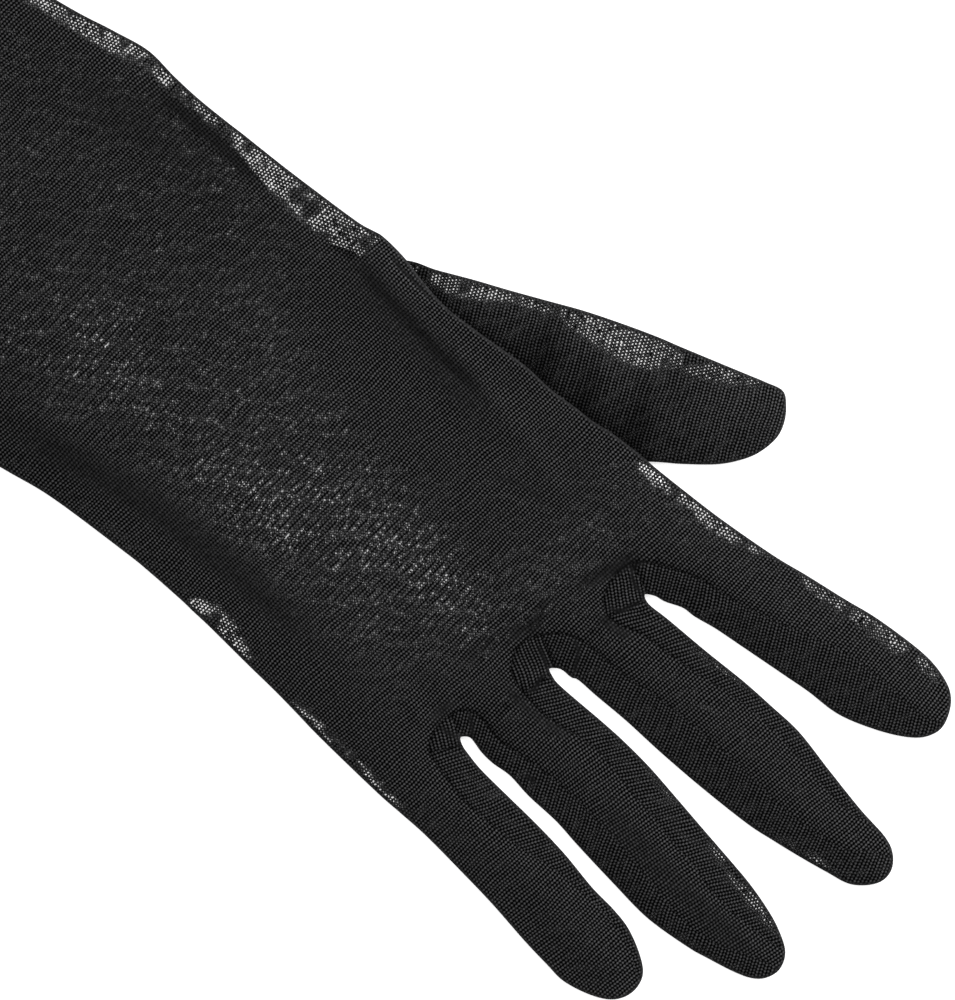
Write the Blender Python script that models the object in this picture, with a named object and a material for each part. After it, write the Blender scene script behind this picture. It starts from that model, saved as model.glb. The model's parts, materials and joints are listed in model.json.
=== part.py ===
"""An opera glove for the right hand, made of stretch mesh, lying flat with the back of the hand up.

The origin is under the middle of the palm, on the surface that the glove lies on. +X runs to the
fingertips, +Y to the thumb and +Z up. Lengths below are in millimetres; new_mesh() makes them metres.
Each tube of cloth is a hollow flattened shell, cut into its sewn pieces along the glove's seams.
"""

import math

import bmesh
import bpy
from mathutils import Vector

MM = 0.001

# Driving dimensions, in millimetres
HEIGHT = 8.0  # of the flattened hand, fingers and sleeve
THUMB_HEIGHT = 6.0
WALL = 0.6
GAP = 0.3  # between pieces that meet at a seam
EDGE_RADIUS = 2.4  # of the folded edges
FAR = 90.0  # beyond the cloth on every side, for regions that only divide it

# The sleeve is a straight taper from the wrist to the hem, turned a little towards the little finger.
SLEEVE_TURN = math.radians(10)
SLEEVE_START = (-90.0, -2.6)  # on the centreline, above the wrist
SLEEVE_START_HALF_WIDTH = 40.5
ELBOW = 158.0  # along the centreline from SLEEVE_START
SLEEVE_LENGTH = 355.0
HEM_HALF_WIDTH = 53.0
HEM_DEPTH = 12.0
HEM_WALL = 1.2  # the hem is the cloth turned in once

# The seam allowance inside the thumb-side seam
FIN_OUTER = 0.9  # from the outline
FIN_INNER = 5.0
FIN_THICKNESS = 0.8
FIN_HAND_END = -46.0  # where it stops, short of the thumb

# Where each finger leaves the hand. The hinges lie just past the webs.
HINGE = {"index": 43.0, "middle": 43.0, "ring": 38.0, "little": 34.0}
FINGER_SPLIT = {"middle": -3.1, "ring": -25.5}  # in the gap on the little-finger side
THUMB_BASE = 39.8  # the straight line along which the thumb joins the hand
ROOT_OVERLAP = 8.0  # how far a finger's tube starts behind its hinge, before it is cut
THUMB_SLOT = (-34.0, 17.0)  # the way from the hand into the thumb
SLOT_MARGIN = 0.9  # left above and below that way

# Outlines, from the thumb side round the tip to the little-finger side
FINGER_OUTLINE = {
    "index": [(43, 40.2), (59.5, 42.2), (75.7, 44.7), (87, 45), (94.5, 42.6), (97.8, 37), (95, 32),
              (89, 28.4), (81.4, 25.8), (67.7, 24.4), (58, 23.4), (43, 21.9)],
    "middle": [(43, 17.9), (63, 18.4), (77.7, 17.6), (90, 15.2), (102, 13.8), (107.4, 10), (107.2, 5),
               (101.5, 1.4), (92, -0.4), (81.2, -1.4), (60, -1.6), (43, -1.6)],
    "ring": [(38, -4.5), (48, -4.7), (60, -5.5), (76, -8.1), (91, -11.5), (101, -15.4), (103.6, -19.8),
             (100.4, -24.2), (89, -27.2), (78.3, -28), (59, -26), (46, -24.6), (38, -24.4)],
    "little": [(34, -26.6), (50.8, -27.5), (66, -29.8), (77, -32.2), (83.6, -36), (84.8, -41), (80.4, -45.6),
               (71.5, -47.1), (54, -44.9), (34, -42.9)],
}
THUMB_OUTLINE = [(-39.4, 40), (-26.4, 44.8), (0.2, 56.4), (20, 63), (32, 66.4), (36.6, 63.4), (38.3, 58.6),
                 (36, 52), (31, 46.6), (24, 40)]

# The seams that bound the side strips of each finger, from the hinge to the tip
SEAM = {
    ("index", "middle"): [(43, 28.4), (52, 29.4), (60, 31.4), (68, 33.8), (76, 35.7), (86, 36), (100, 35.6)],
    ("middle", "index"): [(43, 13.9), (56, 14.2), (70, 15), (84, 13.6), (96, 11.2), (110, 9.2)],
    ("middle", "ring"): [(43, 5.1), (56, 5.9), (72, 5.9), (86, 4.8), (97, 5.4), (110, 6.8)],
    ("ring", "middle"): [(38, -10.8), (50, -9.9), (62, -11.8), (76, -14.4), (90, -16.6), (106, -17.9)],
    ("ring", "little"): [(38, -19.9), (50, -19.4), (64, -20.6), (78, -22.6), (90, -22.8), (106, -20.6)],
    ("little", "ring"): [(34, -33), (46, -33.4), (58, -33.1), (70, -34.2), (78, -36.4), (88, -38.6)],
}

# The seam round each web, which bounds the gusset and the roots of the two strips beside it
WEB_SEAM = {
    ("index", "middle"): [(44, 28.4), (38.5, 26.6), (34.2, 23.6), (31.9, 19), (33.1, 14.4), (36.8, 12.6),
                          (44, 13.9)],
    ("middle", "ring"): [(44, 5.1), (37, 4.5), (31, 3.2), (27.3, 0), (26.4, -5), (28.8, -8.7), (33.2, -10.4),
                         (39, -10.8)],
    ("ring", "little"): [(39, -19.9), (34, -20.3), (28.8, -19.7), (25, -21.8), (23.2, -26.4), (25.2, -30.2),
                         (30, -32), (35, -33)],
}

# The hand's own edges between the wrist and the fingers, each from the wrist on
HAND_THUMB_EDGE = [(-78, 37.5), (-63, 38), (-45.4, 39.4), (22, 39.6), (52, 40.8)]
HAND_LITTLE_EDGE = [(-73.2, -41.4), (-60, -39.4), (-42, -38.5), (-25, -38.9), (6, -41.5), (23, -42.9), (42, -43.2)]
WEB_NOTCH = {
    ("index", "middle"): [(52, 22.7), (43, 21.9), (39.2, 20.8), (37.7, 19.3), (39.2, 18), (52, 17.9)],
    ("middle", "ring"): [(52, -1.6), (43, -1.6), (36, -1.9), (33.2, -3.3), (35.4, -4.5), (46, -4.6)],
    ("ring", "little"): [(46, -24.6), (38, -24.4), (31.4, -23.9), (28.8, -25), (30.6, -26.4), (42, -27)],
}

# Base colour, roughness
CLOTH = (0.016, 0.016, 0.018)
STRIP_CLOTH = (0.012, 0.012, 0.014)
SEAM_CLOTH = (0.008, 0.008, 0.009)
CLOTH_ROUGHNESS = 0.8


def curve_through(points, steps=2):
    """A smooth open line through the points (Catmull-Rom), with this many steps between two of them."""
    found = []
    for i in range(len(points) - 1):
        before = Vector(points[max(i - 1, 0)])
        start, end = Vector(points[i]), Vector(points[i + 1])
        after = Vector(points[min(i + 2, len(points) - 1)])
        for step in range(steps):
            t = step / steps
            found.append(
                0.5 * (2 * start + (end - before) * t + (2 * before - 5 * start + 4 * end - after) * t * t
                       + (3 * start - before - 3 * end + after) * t ** 3)
            )
    return found + [Vector(points[-1])]


def sleeve_point(along, across):
    """The point this far along the sleeve's centreline from SLEEVE_START, and this far to its thumb side."""
    cos, sin = math.cos(SLEEVE_TURN), math.sin(SLEEVE_TURN)
    return Vector((SLEEVE_START[0] - along * cos - across * sin, SLEEVE_START[1] - along * sin + across * cos))


def sleeve_half_width(along):
    return SLEEVE_START_HALF_WIDTH + (HEM_HALF_WIDTH - SLEEVE_START_HALF_WIDTH) * along / SLEEVE_LENGTH


def sleeve_edge(along, side):
    return sleeve_point(along, side * sleeve_half_width(along))


def signed_area(outline):
    return sum(a.x * b.y - b.x * a.y for a, b in zip(outline, outline[1:] + outline[:1])) / 2


def inset(outline, distance):
    """The closed outline moved this far inwards, or outwards if the distance is below zero."""
    turn = 1 if signed_area(outline) > 0 else -1
    moved = []
    for i, point in enumerate(outline):
        one = (point - outline[i - 1]).normalized()
        two = (outline[(i + 1) % len(outline)] - point).normalized()
        normal_one, normal_two = Vector((-one.y, one.x)), Vector((-two.y, two.x))
        both = normal_one + normal_two
        moved.append(point + both * (turn * distance / max(1 + normal_one.dot(normal_two), 0.4)))
    return moved


def new_mesh(name, layers):
    """A closed mesh object through these layers, each an outline and its height, in millimetres."""
    mesh = bmesh.new()
    rings = [[mesh.verts.new((p.x * MM, p.y * MM, z * MM)) for p in outline] for outline, z in layers]
    mesh.faces.new(rings[0])
    mesh.faces.new(rings[-1])
    for low, high in zip(rings, rings[1:]):
        for i in range(len(low)):
            mesh.faces.new((low[i - 1], low[i], high[i], high[i - 1]))
    bmesh.ops.recalc_face_normals(mesh, faces=mesh.faces)
    data = bpy.data.meshes.new(name)
    mesh.to_mesh(data)
    mesh.free()
    made = bpy.data.objects.new(name, data)
    bpy.context.scene.collection.objects.link(made)
    return made


def pillow(name, outline, bottom, top, radius):
    """A flat body of this outline with rounded edges."""
    layers = []
    for angle in (0, 45, 90):
        back, up = radius * (1 - math.sin(math.radians(angle))), radius * (1 - math.cos(math.radians(angle)))
        layers.append((inset(outline, back) if back > 1e-6 else outline, bottom + up))
    return new_mesh(name, layers + [(ring, top + bottom - z) for ring, z in reversed(layers)])


def prism(outline, bottom, top):
    return new_mesh("cutter", [(outline, bottom), (outline, top)])


def cut(target, operation, cutter):
    """Applies one exact Boolean and removes its cutter."""
    modifier = target.modifiers.new("cut", "BOOLEAN")
    modifier.operation = operation
    modifier.solver = "EXACT"
    modifier.object = cutter
    bpy.context.view_layer.update()
    graph = bpy.context.evaluated_depsgraph_get()
    result = bpy.data.meshes.new_from_object(target.evaluated_get(graph))
    target.modifiers.clear()
    target.data = result
    bpy.data.objects.remove(cutter)


def shell(name, outline, height, wall=WALL):
    """A hollow flattened tube. It is still closed at its ends, which the regions cut away."""
    hollow = pillow(name, outline, 0, height, EDGE_RADIUS)
    inside = pillow("inside", inset(outline, wall), wall, height - wall, EDGE_RADIUS - WALL)
    cut(hollow, "DIFFERENCE", inside)
    return hollow


def material(name, colour):
    made = bpy.data.materials.get(name)
    if made is None:
        made = bpy.data.materials.new(name)
        made.use_nodes = True
        shader = made.node_tree.nodes["Principled BSDF"]
        shader.inputs["Base Color"].default_value = (*colour, 1)
        shader.inputs["Roughness"].default_value = CLOTH_ROUGHNESS
        shader.inputs["Metallic"].default_value = 0
    return made


def piece(name, source, region, bottom, top, pivot, cloth, left_out=()):
    """One sewn piece: the part of the source shell inside a region, without the regions left out."""
    made = source.copy()
    made.data = source.data.copy()
    made.name = name
    bpy.context.scene.collection.objects.link(made)
    cut(made, "INTERSECT", prism(region, bottom, top))
    for outline in left_out:
        cut(made, "DIFFERENCE", prism(outline, -1, HEIGHT + 1))
    finish_piece(made, pivot, cloth)
    return made


def finish_piece(made, pivot, cloth):
    """Gives a piece its cloth, and its origin on the pivot of the body that it moves with."""
    made.data.materials.clear()
    made.data.materials.append(cloth)
    made.data.transform(pivot.matrix_world.inverted())
    made.parent = pivot
    made.data.shade_smooth()
    made.data.set_sharp_from_angle(angle=math.radians(40))


def pivot(name, x, y, z):
    made = bpy.data.objects.new(name, None)
    made.empty_display_size = 0.01
    made.location = (x * MM, y * MM, z * MM)
    bpy.context.scene.collection.objects.link(made)
    bpy.context.view_layer.update()
    return made


def shifted(line, offset):
    return [Vector((p[0], p[1] + offset)) for p in line]


def make_finger(name):
    """The back, the palm side and the side strips of one finger, beyond its hinge."""
    line = curve_through(FINGER_OUTLINE[name])
    root = HINGE[name] - ROOT_OVERLAP
    outline = [Vector((root, line[0].y)), *line, Vector((root, line[-1].y))]
    tube = shell("tube", outline, HEIGHT)
    hinge_y = (line[0].y + line[-1].y) / 2
    at = pivot(f"{name}_finger", HINGE[name], hinge_y, HEIGHT)
    half_gap, middle = GAP / 2, HEIGHT / 2
    start = HINGE[name] + half_gap
    high_y, low_y = max(p.y for p in line) + FAR, min(p.y for p in line) - FAR
    end = max(p.x for p in line) + FAR
    upper, lower = [Vector((start, high_y)), Vector((end, high_y))], [Vector((start, low_y)), Vector((end, low_y))]
    for (finger, neighbour), seam in SEAM.items():
        if finger != name:
            continue
        smooth = curve_through([(start, seam[0][1]), *seam[1:]])
        thumb_side = smooth[0].y > hinge_y
        far_side = high_y if thumb_side else low_y
        sign = 1 if thumb_side else -1
        strip = shifted(smooth, sign * half_gap) + [Vector((smooth[-1].x, far_side)), Vector((start, far_side))]
        piece(f"{name}_fourchette_{neighbour}_side", tube, strip, -1, HEIGHT + 1, at,
              material("strip_mesh", STRIP_CLOTH))
        if thumb_side:
            upper = shifted(smooth, -half_gap)
        else:
            lower = shifted(smooth, half_gap)
    region = upper + lower[::-1]
    cloth = material("stretch_mesh", CLOTH)
    piece(f"{name}_back", tube, region, middle + half_gap, HEIGHT + 1, at, cloth)
    piece(f"{name}_palm", tube, region, -1, middle - half_gap, at, cloth)
    bpy.data.objects.remove(tube)


def hand_outline():
    """Round the forearm, hand and the roots of the fingers, anticlockwise from the thumb side of the elbow."""
    thumb_edge = curve_through([sleeve_edge(along, 1) for along in (170, 90, 30, 8)] + HAND_THUMB_EDGE)
    little_edge = curve_through([sleeve_edge(along, -1) for along in (170, 90, 30, 8)] + HAND_LITTLE_EDGE)
    notches = [point for notch in WEB_NOTCH.values() for point in curve_through(notch)]
    return thumb_edge + notches + little_edge[::-1]


def hand_region():
    """Everything between the elbow and the hinges of the fingers."""
    half_gap = GAP / 2
    index, ring, little = (HINGE[name] - half_gap for name in ("index", "ring", "little"))
    return [
        sleeve_point(ELBOW - half_gap, FAR), Vector((index, FAR)), Vector((index, FINGER_SPLIT["middle"])),
        Vector((ring, FINGER_SPLIT["middle"])), Vector((ring, FINGER_SPLIT["ring"])),
        Vector((little, FINGER_SPLIT["ring"])), Vector((little, -FAR)), sleeve_point(ELBOW - half_gap, -FAR),
    ]


def make_hand():
    """The back and palm of the trank from the elbow to the fingers, and the gusset at each web."""
    tube = shell("tube", hand_outline(), HEIGHT)
    slot = [Vector((x, y)) for x, y in ((THUMB_SLOT[0], 33), (THUMB_SLOT[1], 33), (THUMB_SLOT[1], 48),
                                        (THUMB_SLOT[0], 48))]
    cut(tube, "DIFFERENCE", prism(slot, SLOT_MARGIN, THUMB_HEIGHT - SLOT_MARGIN))
    at = pivot("hand", 0, 0, 0)
    webs = {names: curve_through(seam) for names, seam in WEB_SEAM.items()}
    for (one, two), seam in webs.items():
        gusset = piece(f"web_gusset_{one}_{two}", tube, seam, -1, HEIGHT + 1, at,
                       material("strip_mesh", STRIP_CLOTH))
        cut(gusset, "INTERSECT", prism(hand_region(), -1, HEIGHT + 1))
    grown = [inset([Vector((FAR, seam[0].y)), *seam, Vector((FAR, seam[-1].y))], -GAP) for seam in webs.values()]
    cloth, middle = material("stretch_mesh", CLOTH), HEIGHT / 2
    piece("back_panel", tube, hand_region(), middle + GAP / 2, HEIGHT + 1, at, cloth, grown)
    piece("palm_panel", tube, hand_region(), -1, middle - GAP / 2, at, cloth, grown)
    bpy.data.objects.remove(tube)
    return at


def make_thumb():
    """The thumb, one piece of cloth sewn into the palm side under the edge of the hand."""
    line = curve_through(THUMB_OUTLINE)
    outline = [Vector((THUMB_OUTLINE[0][0], 30)), *line, Vector((THUMB_OUTLINE[-1][0], 30))]
    tube = shell("tube", outline, THUMB_HEIGHT)
    at = pivot("thumb", (THUMB_SLOT[0] + THUMB_SLOT[1]) / 2, THUMB_BASE, THUMB_HEIGHT + GAP)
    base = THUMB_BASE + GAP / 2
    region = [Vector(p) for p in ((-FAR, base), (FAR, base), (FAR, FAR), (-FAR, FAR))]
    piece("thumb_piece", tube, region, -1, THUMB_HEIGHT + 1, at, material("stretch_mesh", CLOTH))
    bpy.data.objects.remove(tube)


def sleeve_region(first, last):
    return [sleeve_point(first, FAR), sleeve_point(first, -FAR), sleeve_point(last, -FAR), sleeve_point(last, FAR)]


def make_sleeve():
    """The upper sleeve beyond the elbow, with its turned hem."""
    elbow = sleeve_point(ELBOW, 0)
    at = pivot("upper_sleeve", elbow.x, elbow.y, HEIGHT + 0.5)
    stations = (ELBOW - 12, SLEEVE_LENGTH + 12)
    outline = [sleeve_edge(along, 1) for along in stations] + [sleeve_edge(along, -1) for along in stations[::-1]]
    tube = shell("tube", outline, HEIGHT)
    doubled = shell("doubled", outline, HEIGHT, HEM_WALL)
    start, seam, middle = ELBOW + GAP / 2, SLEEVE_LENGTH - HEM_DEPTH, HEIGHT / 2
    cloth = material("stretch_mesh", CLOTH)
    body = sleeve_region(start, seam - GAP / 2)
    piece("upper_sleeve_back", tube, body, middle + GAP / 2, HEIGHT + 1, at, cloth)
    piece("upper_sleeve_palm", tube, body, -1, middle - GAP / 2, at, cloth)
    piece("hem_band", doubled, sleeve_region(seam + GAP / 2, SLEEVE_LENGTH), -1, HEIGHT + 1, at, cloth)
    bpy.data.objects.remove(tube)
    bpy.data.objects.remove(doubled)
    return at


def make_fin(name, edge, at):
    """A strip of seam allowance, which lies inside the seam along this edge."""
    closed = edge + [Vector((p.x, p.y - 1)) for p in edge[::-1]]
    outer, inner = (inset(closed, distance)[: len(edge)] for distance in (FIN_OUTER, FIN_INNER))
    middle = HEIGHT / 2
    made = prism(outer + inner[::-1], middle - FIN_THICKNESS / 2, middle + FIN_THICKNESS / 2)
    made.name = name
    finish_piece(made, at, material("seam_allowance", SEAM_CLOTH))


def make_seam_allowances(hand, sleeve):
    rising = [sleeve_edge(along, 1) for along in (ELBOW - 1, 90, 30, 8)]
    edge = curve_through(rising + HAND_THUMB_EDGE[:3])
    edge = [p for p in edge if p.x < FIN_HAND_END]
    make_fin("forearm_seam_allowance", edge, hand)
    stations = (SLEEVE_LENGTH - HEM_DEPTH - 1, ELBOW + 1)
    make_fin("upper_sleeve_seam_allowance", [sleeve_edge(along, 1) for along in stations], sleeve)


def main():
    for old in list(bpy.data.objects):
        bpy.data.objects.remove(old)
    hand = make_hand()
    for name in HINGE:
        make_finger(name)
    make_thumb()
    sleeve = make_sleeve()
    make_seam_allowances(hand, sleeve)


main()
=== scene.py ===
"""The looks of the opera glove: sheer stretch mesh, lying flat, seen from straight above.

Every sewn piece of cloth is one sheet of fine mesh, shaped as a height over the plan of the glove.
Lengths are in millimetres in the row frame (+X to the fingertips, +Y to the thumb side), and
build_object() makes them metres.
"""

import math
import json

import bpy
import numpy as np
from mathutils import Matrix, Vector, kdtree, noise
from mathutils.geometry import delaunay_2d_cdt


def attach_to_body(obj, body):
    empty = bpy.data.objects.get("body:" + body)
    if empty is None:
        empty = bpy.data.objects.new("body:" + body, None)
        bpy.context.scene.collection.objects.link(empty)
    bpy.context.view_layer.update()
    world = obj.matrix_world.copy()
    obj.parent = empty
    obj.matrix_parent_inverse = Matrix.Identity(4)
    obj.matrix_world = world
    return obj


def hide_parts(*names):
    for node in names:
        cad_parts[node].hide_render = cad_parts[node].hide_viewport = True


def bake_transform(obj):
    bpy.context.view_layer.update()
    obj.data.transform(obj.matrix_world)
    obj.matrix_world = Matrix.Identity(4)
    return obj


MM = 0.001
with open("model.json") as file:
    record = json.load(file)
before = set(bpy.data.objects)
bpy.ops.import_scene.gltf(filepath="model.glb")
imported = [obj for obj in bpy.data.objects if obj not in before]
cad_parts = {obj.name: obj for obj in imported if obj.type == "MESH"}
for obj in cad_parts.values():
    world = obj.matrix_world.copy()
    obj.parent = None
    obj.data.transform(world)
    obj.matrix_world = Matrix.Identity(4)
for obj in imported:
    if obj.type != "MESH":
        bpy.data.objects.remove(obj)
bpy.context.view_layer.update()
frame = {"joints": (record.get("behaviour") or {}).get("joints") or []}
scene = bpy.context.scene

# ---- sizes and places, in millimetres

JOINT = {joint["child"]: joint for joint in frame["joints"]}

# The sleeve: a straight taper that starts above the wrist and turns with the elbow's fold line
fold_axis = JOINT["upper_sleeve"]["axis"]
SLEEVE_TURN = math.atan2(-fold_axis[0], fold_axis[1])
ELBOW_POINT = [value / MM for value in JOINT["upper_sleeve"]["pos_m"][:2]]
ELBOW = 158.0  # along the sleeve's centreline from its start
SLEEVE_LENGTH = 355.0
HEM_DEPTH = 12.0
SLEEVE_START = (
    ELBOW_POINT[0] + ELBOW * math.cos(SLEEVE_TURN),
    ELBOW_POINT[1] + ELBOW * math.sin(SLEEVE_TURN),
)
START_HALF_WIDTH = 40.5
HEM_HALF_WIDTH = 53.0
STATIONS = (SLEEVE_LENGTH + 30, 300, 230, ELBOW, 100, 60)  # up the sleeve, from beyond the hem
WRIST_STATIONS = (10, 32)  # and on the little-finger side, where the straight edge goes on to the wrist
SLEEVE_STRIPS = (1.9, 0.5)  # width of the see-through strip on the thumb side, and on the other side

# Each point of an outline is x, y and, if there is one, how wide the see-through strip beside the fold is
THUMB_SIDE_EDGE = [
    (-122.6, 33.9, 2.2), (-111, 36.3, 2.8), (-103, 37.8, 2), (-96, 37.2, 1.9), (-89.7, 36.9, 1),
    (-83, 37, 1.5), (-78, 37.2, 2.2), (-70, 37.4, 4), (-63, 37.7, 4.6), (-51, 38.4, 6), (-47.5, 39, 5),
    (-45, 39.4), (-39.4, 38.9), (-34, 37.7), (-26.4, 36.7), (-16, 37.3), (-8, 37.9), (-1.2, 37.6), (5, 38),
    (9, 38.1), (13, 38.7), (20, 39, 0.5), (24, 39, 2), (31, 39.2, 1.4), (40, 39.6, 2),
]
INDEX_OUTLINE = [
    (52, 40.7, 0.3), (59.5, 41.9, 0.8), (68, 43.1, 1.6), (75.7, 44.3, 2.4), (86.5, 44.8, 2),
    (92.7, 43.6, 0.5), (96, 41.4), (97.8, 37.6), (97.5, 34.6), (95, 31.6), (89.3, 28.5), (81.4, 25.9),
    (74, 25.5), (69, 25), (65, 24.6), (58.2, 23.9), (52.5, 23.3), (48, 22.5), (45, 22.3), (41.6, 21),
    (39.4, 20.6),
]
MIDDLE_OUTLINE = [
    (39.4, 18.1), (44.4, 18.2), (53.7, 18.2, 0.5), (63.2, 18.4, 0.5), (70.2, 18.2, 0.2), (77.7, 17.8, 0.1),
    (86.7, 15.9), (96.2, 14, 0.2), (103.2, 13), (106.4, 11.5), (108.2, 8.8), (107.7, 5.6), (104.1, 2.3),
    (99, 1.1, 0.5), (93, 0, 1), (87, -0.9, 0.4), (81.2, -1.6, 0.2), (70.4, -1.9), (60.1, -1.8),
    (50.8, -1.4), (43.3, -1.4), (38.6, -1.3), (37.2, -1.8), (35, -1.8), (33.6, -2.4),
]
RING_OUTLINE = [
    (34.2, -4.5), (37, -5), (47.4, -5.1), (53, -5.3), (59.7, -5.9, 0.3), (66.8, -7, 0.5), (75.9, -8.5, 0.3),
    (84, -9.8, 1.2), (89, -10.7, 1.8), (94, -12, 1.6), (98.4, -13.6, 0.6), (102.5, -16.1), (103.9, -19.2),
    (103.1, -22), (101, -23.9), (97.4, -25.2), (92, -26.4, 0.4), (87.7, -27.2, 0.5), (78.3, -27.9),
    (69, -27), (59, -25.8), (52.8, -24.9), (45.8, -24.6), (40.4, -23.9), (36.3, -24.2), (33.4, -24),
    (31.4, -23.5), (29.8, -23.2), (28.6, -23.8),
]
LITTLE_OUTLINE = [
    (29.3, -25.8), (31.3, -26.4), (35.5, -27.2), (43, -27.8), (50.8, -28.4), (58.3, -29.3), (66.3, -30.8),
    (72.2, -31.4), (76.8, -32.4), (81.6, -34.8), (84.5, -37.4), (85, -41), (83.2, -44.2), (79.4, -46.3),
    (73.8, -47.6), (69.1, -47.2), (63, -46.5), (54, -45.1), (46.1, -44.2), (35.6, -43.2), (28.6, -43, 0.4),
]
LITTLE_SIDE_EDGE = [
    (23.5, -42.9, 0.9), (14, -42.3, 1.1), (6.3, -41.7, 1.2), (1, -41.1, 0.6), (-5, -40.5), (-12, -40, 0.4),
    (-18, -39.5, 2.8), (-23, -39.1, 3.2), (-27, -38.9, 2), (-30, -38.7), (-38.3, -38.5), (-44, -38.6),
    (-61.7, -39.6), (-73.2, -41.5),
]
WEBS = {"index": (37.5, 19.3), "middle": (32.6, -3.6), "ring": (28, -24.8)}  # by the first finger of each
OUTLINE_OFFSET = 0.3  # outwards, from the points above to the middle of the folded cloth

# The seam of each web's strips: from one fingertip, along the finger, round the web, and to the next tip
WEB_SEAM = {
    "index": [
        (97.7, 37.2), (93, 35.7), (86, 36), (76, 35.7), (68, 33.8), (60, 31.4), (52, 29.5), (44, 28.4),
        (38.5, 26.4), (34.6, 24.7), (32, 22.6), (31, 19.6), (31.2, 16.2), (32.6, 13), (35.4, 11.5),
        (38.4, 11.9), (42.2, 13.1), (48, 13.5), (56, 14.2), (64, 15.3), (73, 15.2), (84, 13.8),
        (94, 12.6), (101, 13.6),
    ],
    "middle": [
        (107, 10.6), (103, 9.6), (98, 6.2), (86, 4.8), (72, 5.9), (56, 5.9), (44, 4.9), (37, 4.8),
        (32, 4.1), (28.4, 1.5), (26, -1.6), (25.5, -4.6), (26.9, -7.9), (29.6, -9.6), (35.6, -10.8),
        (41, -10.6), (50, -9.6), (62, -11.8), (76, -14.4), (88, -16.6), (97, -16.6), (102.3, -16.1),
    ],
    "ring": [
        (103.7, -19.4), (98.5, -20.8), (91, -23.6), (83, -24), (74, -22.4), (65, -20.6), (57.4, -19.9),
        (49.8, -19.2), (39, -19.8), (34, -20.2), (28.6, -19.2), (25.2, -20.4), (23.6, -23.6), (23.6, -27),
        (25.4, -30.4), (30.2, -32), (35.2, -33.2), (41.3, -33.6), (51, -33.4), (58, -32.4), (65, -32.4),
        (72, -32.9), (79, -34.8), (84.6, -38.6),
    ],
}
# The two short seams that bound each web's gusset: on the outline, on the seam
GUSSET_SEAMS = {
    "index": [((38.1, 20), (33, 21.8)), ((38.4, 18.3), (35.6, 13))],
    "middle": [((33.5, -2.8), (27.9, 0.6)), ((34, -4.3), (31.8, -9.9))],
    "ring": [((29.3, -24.6), (24.2, -22.6)), ((29.5, -26), (25.4, -30.6))],
}
# Where the back and palm of each finger begin, from its thumb side to its little-finger side
FINGER_CUT = {
    "index": ((38.5, 39.9), (38.5, 26.6)),
    "middle": ((37.5, 12.7), (37.5, 4.6)),
    "ring": ((33.2, -10.4), (34, -20.4)),
    "little": ((30.2, -32), (29, -42.8)),
}
# How far each finger's grain turns away from the hand's, in degrees
FINGER_GRAIN = {"index": 7, "middle": -2, "ring": -9, "little": -1}
THUMB_OUTLINE = [
    (-47, 30), (-39.6, 38.5, 0.4), (-33, 41.5, 2.2), (-26.4, 44.6, 3), (-20, 47.4, 1.4), (-13, 50.6, 1.6),
    (-6, 53.8, 3.6), (2, 56.9, 5.8), (8, 59, 5.8), (12, 60.2, 4), (20, 62.7, 3), (26, 64.6, 1.6),
    (29.2, 65.6, 0.2), (33, 66.5), (35.4, 64.6), (37.1, 62), (37.9, 58.9), (37.3, 55), (35.7, 51.6),
    (32.5, 47.6), (27.2, 43.2), (22, 39.4), (12, 31),
]

# The overlocked seam allowance inside the thumb side, which shows as a dark band
OVERLOCK_LINE = [
    (-98, 32.8), (-84, 33.1), (-76, 32.7), (-69, 31.4), (-62, 30.4), (-54, 30.6), (-47.9, 32.6),
    (-43.8, 32.7), (-38, 31.8), (-30, 30.9), (-22, 29.9), (-16, 29.9), (-10.4, 28.9),
]

EDGE_HEIGHT = 0.75  # of a folded edge above the table
FOLD_RADIUS = 0.9
LOWEST = 0.12
LOFT = 2.4  # how far the upper cloth rises from the edges inwards
LOFT_REACH = 12.0
THUMB_LIFT = 1.9  # of the hand's edge, where the thumb lies under it
THUMB_SPAN = (-54, -40, 16, 36)  # in X: where this lift begins, is full, lessens and ends
THUMB_REACH = (20, 31)  # in Y: where it begins and is full
SEAM_GROOVE = 0.4
SPACING = 1.1  # between the mesh points of a piece
SLEEVE_SPACING = 2.2
STRIP_SPACING = 0.9
HEM_SPACING = 1.6
EDGE_ROWS = (0.06, 0.2, 0.42, 0.75, 1.25, 1.8)  # extra rows of mesh points, this far inside a folded edge
SEAM_ROWS = (0.2, 0.5)  # and this far inside a seam
ON_FOLD = 0.02  # a point this close to the folded edge belongs to both layers
FINE_STEP = 0.2  # of the curves before their points are spaced evenly
TRIANGLE = 0.87  # the height of an even triangle
OUTLINE_STEP = 0.7  # between the points of the outlines' curves
LINE_STEP = 0.8  # of the seams' and other lines'
GUSSET_STEP = 0.6
SHADE_STEP = 0.5


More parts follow.
